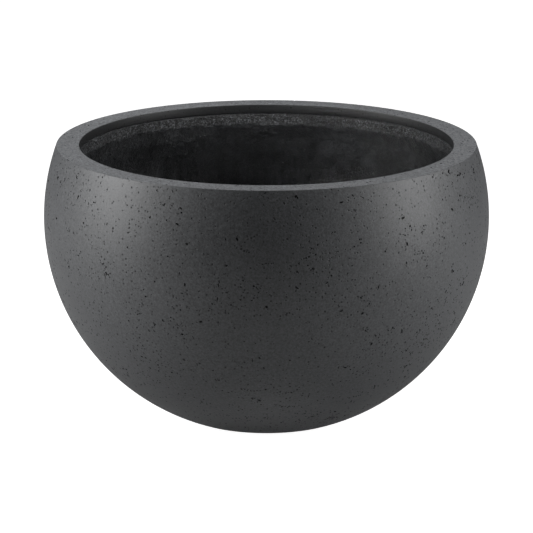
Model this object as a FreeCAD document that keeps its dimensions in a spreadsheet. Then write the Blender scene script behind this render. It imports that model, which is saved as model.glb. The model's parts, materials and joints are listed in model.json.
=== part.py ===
"""Round planter bowl: a thin cement facing over a glass-fibre lining, with a filled rim,
a bushed drain hole, a pull-out rubber drain plug and four rubber feet.

The bowl stands on its feet at Z = 0 and turns about the Z axis. All sizes are in millimetres.
"""
import FreeCAD, Part
import math
import os
import Sketcher

# Driving dimensions: alias, value, what it is.
SIZES = [
    ("overall_diameter", 600.0, "widest diameter of the bowl"),
    ("body_height", 375.0, "from the underside of the base to the rim"),
    ("belly_height", 275.0, "height of the widest line above the base"),
    ("base_diameter", 212.0, "where the belly arc meets the base, before rounding"),
    ("rim_width", 31.0, "flat top of the rim, from the belly to the mouth"),
    ("lip_depth", 12.0, "how far the smooth lip turns down inside the mouth"),
    ("facing_thickness", 4.0, "cement facing"),
    ("rim_edge_radius", 1.5, "outer edge of the rim"),
    ("mouth_edge_radius", 1.2, "inner edge of the rim"),
    ("base_edge_radius", 15.0, "rounding between belly and base"),
    ("lining_thickness", 3.5, "glass-fibre lining"),
    ("band_depth", 14.0, "how far the filled rim reaches below the lip"),
    ("cove_drop", 70.0, "height of the slope from the filled rim out to the wall"),
    ("foot_ring_width", 30.0, "ring that the bowl stands on, around the base recess"),
    ("recess_depth", 5.0, "recess under the base"),
    ("patch_diameter", 150.0, "extra lining around the drain"),
    ("patch_thickness", 2.5, "extra lining around the drain"),
    ("drain_bore", 25.0, "bore of the drain bush"),
    ("bush_wall", 2.5, "wall of the drain bush"),
    ("bush_flange_diameter", 54.0, "flange of the drain bush"),
    ("bush_flange_thickness", 2.5, "flange of the drain bush"),
    ("edge_chamfer", 1.0, "chamfer on the bush, its bore's mouth and the plug's head"),
    ("plug_clearance", 0.05, "radial running clearance of the plug's ribs"),
    ("plug_rib_height", 0.8, "how far each sealing rib stands out of the stem"),
    ("plug_rib_width", 2.0, "length of each sealing rib along the stem"),
    ("plug_rib_pitch", 3.6, "distance from one sealing rib to the next"),
    ("plug_end_gap", 1.5, "from the end of the plug to the end of the bush"),
    ("plug_head_diameter", 40.0, "head that rests on the bush flange"),
    ("plug_head_thickness", 4.0, "head that rests on the bush flange"),
    ("plug_tab_width", 22.0, "pull tab, along X"),
    ("plug_tab_height", 18.0, "pull tab, above the head"),
    ("plug_tab_thickness", 5.0, "pull tab, along Y"),
    ("plug_tab_hole", 10.0, "finger or cord hole through the tab"),
    ("foot_diameter", 20.0, "rubber foot"),
    ("foot_thickness", 2.0, "rubber foot"),
    ("foot_edge", 0.6, "chamfer at the foot's lower edge"),
    ("plug_rib_count", 3, "sealing ribs on the plug"),
    ("foot_count", 4, "feet, evenly spaced"),
]

# An edge is taken as the one looked for when its radius and height are this near.
NEAR = 0.01

# Sizes that follow from the driving ones. Each formula is written once, here.
DERIVED = [
    # the belly is one arc, upright at the widest line and passing through the base corner
    ("belly_inset", "Sizes.overall_diameter / 2 - Sizes.base_diameter / 2"),
    ("belly_radius", "(Sizes.belly_height ^ 2 + Derived.belly_inset ^ 2) / (2 * Derived.belly_inset)"),
    ("belly_centre_r", "Sizes.overall_diameter / 2 - Derived.belly_radius"),
    ("belly_centre_z", "Sizes.foot_thickness + Sizes.belly_height"),
    # the rounding at the base touches the base's plane and, inside it, the belly arc
    ("round_to_arc", "Derived.belly_radius - Sizes.base_edge_radius"),
    ("round_drop", "Sizes.belly_height - Sizes.base_edge_radius"),
    ("round_r", "Derived.belly_centre_r + sqrt(Derived.round_to_arc ^ 2 - Derived.round_drop ^ 2)"),
    ("facing_inner_radius", "Derived.belly_radius - Sizes.facing_thickness"),
    ("lining_inner_radius", "Derived.facing_inner_radius - Sizes.lining_thickness"),
    ("base_z", "Sizes.foot_thickness"),
    ("rim_z", "Derived.base_z + Sizes.body_height"),
    ("rim_rise", "Derived.rim_z - Derived.belly_centre_z"),
    ("rim_radius", "Derived.belly_centre_r + sqrt(Derived.belly_radius ^ 2 - Derived.rim_rise ^ 2)"),
    ("mouth_radius", "Derived.rim_radius - Sizes.rim_width"),
    ("lip_z", "Derived.rim_z - Sizes.lip_depth"),
    ("lip_back_radius", "Derived.mouth_radius + Sizes.facing_thickness"),
    ("rim_under_z", "Derived.rim_z - Sizes.facing_thickness"),
    ("core_foot_z", "Derived.lip_z - Sizes.band_depth"),
    ("cove_z", "Derived.core_foot_z - Sizes.cove_drop"),
    ("band_radius", "Derived.lip_back_radius - Sizes.lining_thickness"),
    ("recess_z", "Derived.base_z + Sizes.recess_depth"),
    ("recess_radius", "Sizes.base_diameter / 2 - Sizes.foot_ring_width"),
    ("facing_floor_z", "Derived.recess_z + Sizes.facing_thickness"),
    ("lining_floor_z", "Derived.facing_floor_z + Sizes.lining_thickness"),
    ("patch_z", "Derived.lining_floor_z + Sizes.patch_thickness"),
    ("bush_radius", "Sizes.drain_bore / 2 + Sizes.bush_wall"),
    ("bush_top_z", "Derived.patch_z + Sizes.bush_flange_thickness"),
    ("plug_rib_radius", "Sizes.drain_bore / 2 - Sizes.plug_clearance"),
    ("plug_stem_radius", "Derived.plug_rib_radius - Sizes.plug_rib_height"),
    ("plug_end_z", "Derived.recess_z + Sizes.plug_end_gap"),
    ("plug_head_z", "Derived.bush_top_z + Sizes.plug_head_thickness"),
    ("plug_tab_centre_z", "Derived.plug_head_z + Sizes.plug_tab_height - Sizes.plug_tab_width / 2"),
    ("foot_circle_radius", "Sizes.base_diameter / 2 - Sizes.foot_ring_width / 2"),
]

doc = FreeCAD.newDocument("planter_bowl")


def make_sizes():
    """The sheet of driving dimensions."""
    sheet = doc.addObject("Spreadsheet::Sheet", "Sizes")
    for row, (alias, value, note) in enumerate(SIZES, start=1):
        sheet.set(f"A{row}", alias)
        sheet.set(f"B{row}", str(value))
        sheet.set(f"C{row}", note)
        sheet.setAlias(f"B{row}", alias)
    doc.recompute()
    return sheet


def make_derived():
    """One named property for each size that follows from the sheet."""
    derived = doc.addObject("App::VarSet", "Derived")
    for name, formula in DERIVED:
        derived.addProperty("App::PropertyFloat", name, "Derived")
        derived.setExpression(name, formula)
        doc.recompute()
    return derived


sizes = make_sizes()
derived = make_derived()


def size(name):
    """A driving or derived size as a number."""
    return float(getattr(sizes if hasattr(sizes, name) else derived, name))


def cell(name):
    """The expression that names a driving or derived size."""
    return ("Sizes." if hasattr(sizes, name) else "Derived.") + name


def belly_r(radius, z):
    """Distance from the Z axis of the belly arc of this radius, at height z."""
    return size("belly_centre_r") + math.sqrt(radius**2 - (z - size("belly_centre_z")) ** 2)


def new_body(label):
    body = doc.addObject("PartDesign::Body", label)
    body.Label = label
    return body


def new_sketch(body, name, role):
    """A sketch on one of the body's own origin planes."""
    plane = next(f for f in body.Origin.OriginFeatures if f.Role == role)
    sketch = body.newObject("Sketcher::SketchObject", name)
    sketch.AttachmentSupport = (plane, [""])
    sketch.MapMode = "FlatFace"
    return sketch


def bind(sketch, constraint, name, formula):
    """Adds a dimension to a sketch and ties it to the sheet."""
    index = sketch.addConstraint(constraint)
    sketch.renameConstraint(index, name)
    sketch.setExpression(f"Constraints.{name}", formula)


def arc_between(centre, radius, first, last):
    """The short arc about centre from one corner to the next, and whether it runs backwards."""
    turn = [math.atan2(p[1] - centre[1], p[0] - centre[0]) for p in (first, last)]
    backwards = turn[1] < turn[0]
    circle = Part.Circle(FreeCAD.Vector(*centre, 0), FreeCAD.Vector(0, 0, 1), radius)
    return Part.ArcOfCircle(circle, min(turn), max(turn)), backwards


def profile(body, name, corners, arcs, rounding=None):
    """A closed half-section in the XZ plane, for turning about Z.

    corners: (name, r, z, formula of r or None, formula of z or None), in order round the section.
    arcs: {corner that the arc starts at: name of its radius}, all about the belly arc's centre.
    rounding: (corner that it starts at, name of its radius, its centre), for an arc that is
    tangent to the edges before and after it.
    """
    sketch = new_sketch(body, name, "XZ_Plane")
    centre = (size("belly_centre_r"), size("belly_centre_z"))
    start, end = [], []  # (geometry, which end of it) of each edge's first and last point
    smooth = []  # corners where the edges meet in a tangent
    for i, (corner, r, z, _, _) in enumerate(corners):
        next_corner, next_r, next_z, _, _ = corners[(i + 1) % len(corners)]
        if corner in arcs:
            edge, backwards = arc_between(centre, size(arcs[corner]), (r, z), (next_r, next_z))
        elif rounding and corner == rounding[0]:
            edge, backwards = arc_between(rounding[2], size(rounding[1]), (r, z), (next_r, next_z))
            smooth = [corner, next_corner]
        else:
            edge = Part.LineSegment(FreeCAD.Vector(r, z, 0), FreeCAD.Vector(next_r, next_z, 0))
            backwards = False
        index = sketch.addGeometry(edge, False)
        start.append((index, 2 if backwards else 1))
        end.append((index, 1 if backwards else 2))
    for i, (corner, r, z, formula_r, formula_z) in enumerate(corners):
        meeting = "Tangent" if corner in smooth else "Coincident"
        sketch.addConstraint(Sketcher.Constraint(meeting, *end[i - 1], *start[i]))
        if rounding and corner == rounding[0]:
            bind(sketch, Sketcher.Constraint("Radius", start[i][0], size(rounding[1])),
                 f"{corner}_round", cell(rounding[1]))
        if corner in arcs:
            bind(sketch, Sketcher.Constraint("Radius", start[i][0], size(arcs[corner])),
                 f"{corner}_arc", cell(arcs[corner]))
            bind(sketch, Sketcher.Constraint("DistanceX", -1, 1, start[i][0], 3, centre[0]),
                 f"{corner}_centre_r", cell("belly_centre_r"))
            bind(sketch, Sketcher.Constraint("DistanceY", -1, 1, start[i][0], 3, centre[1]),
                 f"{corner}_centre_z", cell("belly_centre_z"))
        if formula_r:
            bind(sketch, Sketcher.Constraint("DistanceX", -1, 1, *start[i], r), f"{corner}_r", formula_r)
        if formula_z:
            bind(sketch, Sketcher.Constraint("DistanceY", -1, 1, *start[i], z), f"{corner}_z", formula_z)
    return sketch


def corner(name, r, z):
    """A corner at two named sizes."""
    return (name, size(r), size(z), cell(r), cell(z))


def corner_on_belly(name, radius, z):
    """A corner on the belly arc of a named radius, at a named height."""
    return (name, belly_r(size(radius), size(z)), size(z), None, cell(z))


def turned(body, sketch):
    """The half-section turned a full turn about Z."""
    turn = body.newObject("PartDesign::Revolution", f"{body.Name}_turned")
    turn.Profile = sketch
    turn.ReferenceAxis = (sketch, ["V_Axis"])
    turn.Angle = 360
    doc.recompute()
    return turn


def circles_at(feature, r, z):
    """Names of the circular edges at this radius and height."""
    found = []
    for i, edge in enumerate(feature.Shape.Edges, start=1):
        curve = edge.Curve
        if not isinstance(curve, Part.Circle):
            continue
        if abs(curve.Radius - r) < NEAR and abs(curve.Center.z - z) < NEAR:
            found.append(f"Edge{i}")
    return found


def rounded(body, base, name, r, z, radius):
    """A fillet of a named radius on the circular edge at r and z."""
    fillet = body.newObject("PartDesign::Fillet", f"{body.Name}_{name}")
    fillet.Base = (base, circles_at(base, r, z))
    fillet.Radius = size(radius)
    fillet.setExpression("Radius", cell(radius))
    doc.recompute()
    return fillet


def chamfered(body, base, name, r, z, width):
    """A chamfer of a named width on the circular edge at r and z."""
    chamfer = body.newObject("PartDesign::Chamfer", f"{body.Name}_{name}")
    chamfer.Base = (base, circles_at(base, r, z))
    chamfer.Size = size(width)
    chamfer.setExpression("Size", cell(width))
    doc.recompute()
    return chamfer


def make_facing_shell():
    """Outer cement skin: belly, base with its recess, flat rim and the lip turned down in the mouth."""
    body = new_body("facing_shell")
    # the rounding's far end lies on the ray from the belly arc's centre through its own
    reach = size("belly_radius") / size("round_to_arc")
    belly_start = (size("belly_centre_r") + (size("round_r") - size("belly_centre_r")) * reach,
                   size("belly_centre_z") - size("round_drop") * reach)
    sketch = profile(body, "facing_section", [
        ("base_end", size("round_r"), size("base_z"), None, cell("base_z")),
        ("belly_start", *belly_start, None, None),
        corner_on_belly("rim", "belly_radius", "rim_z"),
        corner("mouth", "mouth_radius", "rim_z"),
        corner("lip", "mouth_radius", "lip_z"),
        corner("lip_back", "lip_back_radius", "lip_z"),
        corner("rim_under", "lip_back_radius", "rim_under_z"),
        corner_on_belly("inner_top", "facing_inner_radius", "rim_under_z"),
        corner_on_belly("inner_floor", "facing_inner_radius", "facing_floor_z"),
        corner("drain_top", "bush_radius", "facing_floor_z"),
        corner("drain_end", "bush_radius", "recess_z"),
        corner("recess_top", "recess_radius", "recess_z"),
        corner("recess_foot", "recess_radius", "base_z"),
    ], {"belly_start": "belly_radius", "inner_top": "facing_inner_radius"},
        ("base_end", "base_edge_radius", (size("round_r"), size("base_z") + size("base_edge_radius"))))
    turn = turned(body, sketch)
    rim = rounded(body, turn, "rim_edge", size("rim_radius"), size("rim_z"), "rim_edge_radius")
    rounded(body, rim, "mouth_edge", size("mouth_radius"), size("rim_z"), "mouth_edge_radius")
    return body


def make_rim_core():
    """Filler cast into the rim, between the belly and the lip, with a sloped underside."""
    body = new_body("rim_core")
    sketch = profile(body, "core_section", [
        corner("top_in", "lip_back_radius", "rim_under_z"),
        corner("foot", "lip_back_radius", "core_foot_z"),
        corner_on_belly("cove", "facing_inner_radius", "cove_z"),
        corner_on_belly("top_out", "facing_inner_radius", "rim_under_z"),
    ], {"cove": "facing_inner_radius"})
    turned(body, sketch)
    return body


def cove_offset():
    """Height where the lining's face leaves the band, and where that slope meets the wall."""
    foot = (size("lip_back_radius"), size("core_foot_z"))
    cove = (belly_r(size("facing_inner_radius"), size("cove_z")), size("cove_z"))
    run, drop = cove[0] - foot[0], foot[1] - cove[1]
    length = math.hypot(run, drop)
    slope = drop / run
    # the slope's line moved down and in by the lining's thickness
    shifted_z = foot[1] - size("lining_thickness") * length / run
    band_z = shifted_z + slope * (foot[0] - size("band_radius"))
    # meets the lining's inner arc: a quadratic in r
    centre_r, centre_z = size("belly_centre_r"), size("belly_centre_z")
    level = shifted_z + slope * foot[0] - centre_z
    a = 1 + slope**2
    b = -2 * (centre_r + slope * level)
    c = centre_r**2 + level**2 - size("lining_inner_radius") ** 2
    wall_r = (-b + math.sqrt(b * b - 4 * a * c)) / (2 * a)
    return band_z, wall_r, level + centre_z - slope * wall_r


def make_lining():
    """Hand-laid glass fibre over the inside: filled rim below the lip, wall and floor."""
    body = new_body("glassfibre_lining")
    band_z, wall_r, wall_z = cove_offset()
    sketch = profile(body, "lining_section", [
        corner("top_in", "band_radius", "lip_z"),
        ("band_foot", size("band_radius"), band_z, cell("band_radius"), None),
        ("wall_top", wall_r, wall_z, None, None),
        corner_on_belly("floor_edge", "lining_inner_radius", "lining_floor_z"),
        corner("drain_top", "bush_radius", "lining_floor_z"),
        corner("drain_end", "bush_radius", "facing_floor_z"),
        corner_on_belly("outer_floor", "facing_inner_radius", "facing_floor_z"),
        corner_on_belly("outer_cove", "facing_inner_radius", "cove_z"),
        corner("core_foot", "lip_back_radius", "core_foot_z"),
        corner("top_out", "lip_back_radius", "lip_z"),
    ], {"wall_top": "lining_inner_radius", "outer_floor": "facing_inner_radius"})
    # the face over the slope runs parallel to it, one lining away
    cover, slope = 1, 7
    sketch.addConstraint(Sketcher.Constraint("Parallel", cover, slope))
    bind(sketch, Sketcher.Constraint("Distance", cover, 1, slope, size("lining_thickness")),
         "cove_cover", cell("lining_thickness"))
    turned(body, sketch)
    return body


def disc_with_hole(body, z, outer, inner, thickness):
    """A ring on the plane at height z, padded upwards. Every argument names a size."""
    sketch = new_sketch(body, f"{body.Name}_outline", "XY_Plane")
    sketch.setExpression("AttachmentOffset.Base.z", cell(z))
    for index, (name, radius) in enumerate((("outer", outer), ("inner", inner))):
        circle = Part.Circle(FreeCAD.Vector(0, 0, 0), FreeCAD.Vector(0, 0, 1), radius[1])
        sketch.addGeometry(circle, False)
        sketch.addConstraint(Sketcher.Constraint("Coincident", index, 3, -1, 1))
        bind(sketch, Sketcher.Constraint("Radius", index, radius[1]), f"{name}_radius", radius[0])
    pad = body.newObject("PartDesign::Pad", f"{body.Name}_pad")
    pad.Profile = sketch
    pad.Length = size(thickness)
    pad.setExpression("Length", cell(thickness))
    doc.recompute()
    return pad


def make_floor_patch():
    """Extra layers of lining round the drain."""
    body = new_body("floor_patch")
    outer = (f"{cell('patch_diameter')} / 2", size("patch_diameter") / 2)
    inner = (cell("bush_radius"), size("bush_radius"))
    disc_with_hole(body, "lining_floor_z", outer, inner, "patch_thickness")
    return body


def make_drain_bush():
    """Flanged plastic bush bonded into the drain hole."""
    body = new_body("drain_bush")
    bore = (f"{cell('drain_bore')} / 2", size("drain_bore") / 2)
    flange = (f"{cell('bush_flange_diameter')} / 2", size("bush_flange_diameter") / 2)
    sketch = profile(body, "bush_section", [
        ("bore_end", bore[1], size("recess_z"), bore[0], cell("recess_z")),
        corner("sleeve_end", "bush_radius", "recess_z"),
        corner("sleeve_top", "bush_radius", "patch_z"),
        ("flange_under", flange[1], size("patch_z"), flange[0], cell("patch_z")),
        ("flange_top", flange[1], size("bush_top_z"), flange[0], cell("bush_top_z")),
        ("bore_top", bore[1], size("bush_top_z"), bore[0], cell("bush_top_z")),
    ], {})
    turn = turned(body, sketch)
    lead_in = chamfered(body, turn, "lead_in", bore[1], size("bush_top_z"), "edge_chamfer")
    chamfered(body, lead_in, "flange_edge", flange[1], size("bush_top_z"), "edge_chamfer")
    return body


def plug_ribs():
    """The corners of the sealing ribs, from the plug's end upwards."""
    corners = []
    stem, rib = size("plug_stem_radius"), size("plug_rib_radius")
    for i in range(int(size("plug_rib_count"))):
        low_z = size("plug_end_z") + i * size("plug_rib_pitch")
        high_z = low_z + size("plug_rib_width")
        low = f"{cell('plug_end_z')} + {i} * {cell('plug_rib_pitch')}"
        high = f"{low} + {cell('plug_rib_width')}"
        if i:
            corners.append((f"stem_{i}", stem, low_z, cell("plug_stem_radius"), low))
        corners.append((f"rib_{i}_low", rib, low_z, cell("plug_rib_radius"), low))
        corners.append((f"rib_{i}_high", rib, high_z, cell("plug_rib_radius"), high))
        corners.append((f"rib_{i}_back", stem, high_z, cell("plug_stem_radius"), high))
    return corners


def tab_outline(body):
    """An upright tab with a round top and a round hole about the same centre."""
    half = size("plug_tab_width") / 2
    foot, centre = size("plug_head_z"), size("plug_tab_centre_z")
    hole = size("plug_tab_hole") / 2
    up = FreeCAD.Vector(0, 0, 1)
    outline = ((-half, foot), (half, foot), (half, centre), (-half, centre))
    corners = [FreeCAD.Vector(*point, 0) for point in outline]
    middle = FreeCAD.Vector(0, centre, 0)

    sketch = new_sketch(body, "tab_outline", "XZ_Plane")
    sketch.addGeometry(Part.LineSegment(corners[0], corners[1]), False)
    sketch.addGeometry(Part.LineSegment(corners[1], corners[2]), False)
    sketch.addGeometry(Part.ArcOfCircle(Part.Circle(middle, up, half), 0, math.pi), False)
    sketch.addGeometry(Part.LineSegment(corners[3], corners[0]), False)
    sketch.addGeometry(Part.Circle(middle, up, hole), False)
    joined = [((0, 2), (1, 1)), ((3, 2), (0, 1)), ((4, 3), (2, 3))]
    for first, last in joined:
        sketch.addConstraint(Sketcher.Constraint("Coincident", *first, *last))
    sketch.addConstraint(Sketcher.Constraint("Tangent", 1, 2, 2, 1))
    sketch.addConstraint(Sketcher.Constraint("Tangent", 2, 2, 3, 1))
    sketch.addConstraint(Sketcher.Constraint("Horizontal", 0))
    sketch.addConstraint(Sketcher.Constraint("Vertical", 1))
    sketch.addConstraint(Sketcher.Constraint("Vertical", 3))
    sketch.addConstraint(Sketcher.Constraint("PointOnObject", 2, 3, -2))
    bind(sketch, Sketcher.Constraint("Radius", 2, half), "tab_radius", f"{cell('plug_tab_width')} / 2")
    bind(sketch, Sketcher.Constraint("Radius", 4, hole), "hole_radius", f"{cell('plug_tab_hole')} / 2")
    bind(sketch, Sketcher.Constraint("DistanceY", -1, 1, 0, 1, foot), "tab_foot", cell("plug_head_z"))
    bind(sketch, Sketcher.Constraint("DistanceY", -1, 1, 2, 3, centre), "tab_centre",
         cell("plug_tab_centre_z"))
    return sketch


def make_drain_plug():
    """Rubber plug: ribbed stem, head that rests on the bush, and a pull tab with a hole."""
    body = new_body("drain_plug")
    head = (f"{cell('plug_head_diameter')} / 2", size("plug_head_diameter") / 2)
    corners = [("end_axis", 0.0, size("plug_end_z"), None, cell("plug_end_z"))]
    corners += plug_ribs()
    corners += [
        corner("stem_top", "plug_stem_radius", "bush_top_z"),
        ("head_under", head[1], size("bush_top_z"), head[0], cell("bush_top_z")),
        ("head_top", head[1], size("plug_head_z"), head[0], cell("plug_head_z")),
        ("top_axis", 0.0, size("plug_head_z"), None, cell("plug_head_z")),
    ]
    sketch = profile(body, "plug_section", corners, {})
    for on_axis in (0, len(corners) - 1):
        sketch.addConstraint(Sketcher.Constraint("PointOnObject", on_axis, 1, -2))
    turn = turned(body, sketch)
    chamfered(body, turn, "head_edge", head[1], size("plug_head_z"), "edge_chamfer")

    pad = body.newObject("PartDesign::Pad", "tab_pad")
    pad.Profile = tab_outline(body)
    pad.Midplane = True
    pad.Length = size("plug_tab_thickness")
    pad.setExpression("Length", cell("plug_tab_thickness"))
    doc.recompute()
    return body


def make_foot(index):
    """One stick-on rubber foot, on the flat of the foot ring."""
    body = new_body(f"rubber_foot_{index + 1}")
    radius = size("foot_diameter") / 2
    sketch = new_sketch(body, f"foot_outline_{index + 1}", "XY_Plane")
    sketch.addGeometry(Part.Circle(FreeCAD.Vector(0, 0, 0), FreeCAD.Vector(0, 0, 1), radius), False)
    sketch.addConstraint(Sketcher.Constraint("Coincident", 0, 3, -1, 1))
    bind(sketch, Sketcher.Constraint("Radius", 0, radius), "foot_radius", f"{cell('foot_diameter')} / 2")
    pad = body.newObject("PartDesign::Pad", f"foot_pad_{index + 1}")
    pad.Profile = sketch
    pad.Length = size("foot_thickness")
    pad.setExpression("Length", cell("foot_thickness"))
    doc.recompute()
    chamfered(body, pad, "edge", radius, 0.0, "foot_edge")
    turn = f"{index + 0.5} * 360 deg / {cell('foot_count')}"
    body.setExpression("Placement.Base.x", f"{cell('foot_circle_radius')} * cos({turn})")
    body.setExpression("Placement.Base.y", f"{cell('foot_circle_radius')} * sin({turn})")
    doc.recompute()
    return body


def check(parts):
    """Stops if any object failed, a sketch is loose, or a sub-part isn't one valid solid."""
    for item in doc.Objects:
        if "Invalid" in item.State or "Error" in item.State:
            raise RuntimeError(f"{item.Label} failed: {item.State}")
        if item.isDerivedFrom("Sketcher::SketchObject") and not item.FullyConstrained:
            raise RuntimeError(f"{item.Label} isn't fully constrained")
    for part in parts:
        shape = part.Shape
        if shape.isNull() or not shape.isValid() or len(shape.Solids) != 1:
            raise RuntimeError(f"{part.Label} isn't one valid solid")


def main():
    parts = [make_facing_shell(), make_rim_core(), make_lining(), make_floor_patch(),
             make_drain_bush(), make_drain_plug()]
    parts += [make_foot(i) for i in range(int(size("foot_count")))]
    doc.recompute()
    check(parts)
    os.makedirs("parts", exist_ok=True)
    for part in parts:
        part.Shape.exportStep(f"parts/{part.Label}.step")
        print(f"{part.Label}: {part.Shape.Volume / 1000:.1f} cm3")
    for name, _ in DERIVED:
        print(f"{name} = {size(name):.3f}")


main()
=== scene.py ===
import json
import math

import bmesh
import bpy
import numpy as np
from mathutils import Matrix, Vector


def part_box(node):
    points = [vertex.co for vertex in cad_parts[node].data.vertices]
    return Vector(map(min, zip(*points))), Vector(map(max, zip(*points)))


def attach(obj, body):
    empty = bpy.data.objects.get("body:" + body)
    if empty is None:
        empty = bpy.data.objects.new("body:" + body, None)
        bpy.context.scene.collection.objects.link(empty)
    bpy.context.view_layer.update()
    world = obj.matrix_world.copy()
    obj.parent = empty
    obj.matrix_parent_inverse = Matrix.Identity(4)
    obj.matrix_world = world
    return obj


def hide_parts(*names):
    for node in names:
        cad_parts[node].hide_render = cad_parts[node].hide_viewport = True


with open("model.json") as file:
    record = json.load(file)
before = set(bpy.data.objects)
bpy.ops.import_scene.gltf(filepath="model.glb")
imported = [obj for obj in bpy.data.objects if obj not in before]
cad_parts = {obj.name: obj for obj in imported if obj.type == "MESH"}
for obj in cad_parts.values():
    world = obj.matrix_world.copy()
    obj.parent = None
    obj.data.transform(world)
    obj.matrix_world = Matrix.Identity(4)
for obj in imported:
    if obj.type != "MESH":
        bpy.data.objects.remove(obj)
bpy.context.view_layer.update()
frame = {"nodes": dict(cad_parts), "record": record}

mm = 0.001
near = 0.05 * mm  # closer than this is the same place on a CAD node

# sizes, read off the CAD nodes


def low(node):
    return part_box(node)[0]


def high(node):
    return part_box(node)[1]


def sectionPoints(node):
    # radius and height of every vertex of a turned node
    points = np.array([v.co for v in frame["nodes"][node].data.vertices])
    return np.hypot(points[:, 0], points[:, 1]), points[:, 2]


def ringAt(node, height):
    # smallest and largest radius of a node's vertices at this height
    r, z = sectionPoints(node)
    level = r[np.abs(z - height) < near]
    return float(level.min()), float(level.max())


def arcOf(node, side, fromZ, toZ):
    # the circle in a turned wall's section, from its faces that look outwards (side 1) or inwards (-1)
    mesh = frame["nodes"][node].data
    rows = []
    for face in mesh.polygons:
        outward = face.normal.x * face.center.x + face.normal.y * face.center.y
        if fromZ < face.center.z < toZ and side * outward > 0:
            rows += [mesh.vertices[i].co for i in face.vertices]
    r = np.array([math.hypot(p.x, p.y) for p in rows])
    z = np.array([p.z for p in rows])
    terms = np.column_stack([2 * r, 2 * z, np.ones(len(r))])
    centreR, centreZ, rest = np.linalg.lstsq(terms, r**2 + z**2, rcond=None)[0]
    return {"r": centreR, "z": centreZ, "radius": math.sqrt(rest + centreR**2 + centreZ**2)}


def arcR(arc, z):
    return arc["r"] + math.sqrt(arc["radius"] ** 2 - (z - arc["z"]) ** 2)


mouth = next(m for m in frame["record"]["mounts"] if m["name"] == "mouth")
bowl = {
    "baseZ": low("facing_shell").z,
    "rimZ": high("facing_shell").z,
    "mouthR": mouth["dims"]["r_mm"] * mm,
    "lipZ": high("glassfibre_lining").z,
    "coreTopZ": high("rim_core").z,
    "coveZ": low("rim_core").z,
    "lipBackR": ringAt("rim_core", high("rim_core").z)[0],
    "bandR": ringAt("glassfibre_lining", high("glassfibre_lining").z)[0],
    "recessZ": low("drain_bush").z,
    "recessR": ringAt("facing_shell", low("facing_shell").z)[0],
    "floorUnderZ": low("glassfibre_lining").z,
    "floorZ": low("floor_patch").z,
    "patchZ": high("floor_patch").z,
    "patchR": high("floor_patch").x,
    "drainR": ringAt("facing_shell", low("drain_bush").z)[0],
}
# each circle is fitted clear of the rounds at the ends of its wall
belly = arcOf("facing_shell", 1, bowl["baseZ"] + 30 * mm, bowl["rimZ"] - 10 * mm)
wall = arcOf("glassfibre_lining", -1, bowl["floorZ"] + 10 * mm, bowl["coveZ"] - 20 * mm)
backWall = arcOf("glassfibre_lining", 1, bowl["floorUnderZ"] + 10 * mm, bowl["coveZ"] - 10 * mm)

liningR, liningZ = sectionPoints("glassfibre_lining")
onBand = (np.abs(liningR - bowl["bandR"]) < near) & (liningZ > bowl["coveZ"])
bowl["bandFootZ"] = float(liningZ[onBand].min())
coreR, coreZ = sectionPoints("rim_core")
onCoreBack = np.abs(coreR - bowl["lipBackR"]) < near
bowl["coreFootZ"] = float(coreZ[onCoreBack].min())
wallGap = np.abs(np.hypot(liningR - wall["r"], liningZ - wall["z"]) - wall["radius"])
onWall = (wallGap < near) & (liningZ < bowl["bandFootZ"] - 1 * mm)
bowl["wallTopZ"] = float(liningZ[onWall].max())
print("sizes read:", {k: round(v, 4) for k, v in bowl.items()})

# half-sections and turned meshes


def arcRows(arc, fromZ, toZ, step):
    # points along an upright wall's arc between two heights, about a step apart
    turn = [math.asin((z - arc["z"]) / arc["radius"]) for z in (fromZ, toZ)]
    count = max(1, round(abs(turn[1] - turn[0]) * arc["radius"] / step))
    angles = [turn[0] + (turn[1] - turn[0]) * i / count for i in range(count + 1)]
    return [(arc["r"] + arc["radius"] * math.cos(a), arc["z"] + arc["radius"] * math.sin(a))
            for a in angles]


def lineRows(first, last, step):
    # points along a straight stretch, both ends included
    count = max(1, round(math.dist(first, last) / step))
    return [tuple(a + (b - a) * i / count for a, b in zip(first, last)) for i in range(count + 1)]


def softCorner(before, corner, after, radius, steps=4):
    # the points of a small round between two directions at a corner
    inWay = (Vector(corner) - Vector(before)).normalized()
    outWay = (Vector(after) - Vector(corner)).normalized()
    turn = inWay.angle(outWay)
    start = Vector(corner) - inWay * radius * math.tan(turn / 2)
    side = Vector((-inWay.y, inWay.x))
    if side.dot(outWay) < 0:
        side = -side
    points = []
    for i in range(steps + 1):
        a = turn * i / steps
        points.append(tuple(start + inWay * radius * math.sin(a) + side * radius * (1 - math.cos(a))))
    return points


# rows, or points near the axis, that are closer than this become one
weld = {"rows": 0.02 * mm, "axis": 0.01 * mm, "points": 0.005 * mm, "edges": 0.001 * mm}


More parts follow.
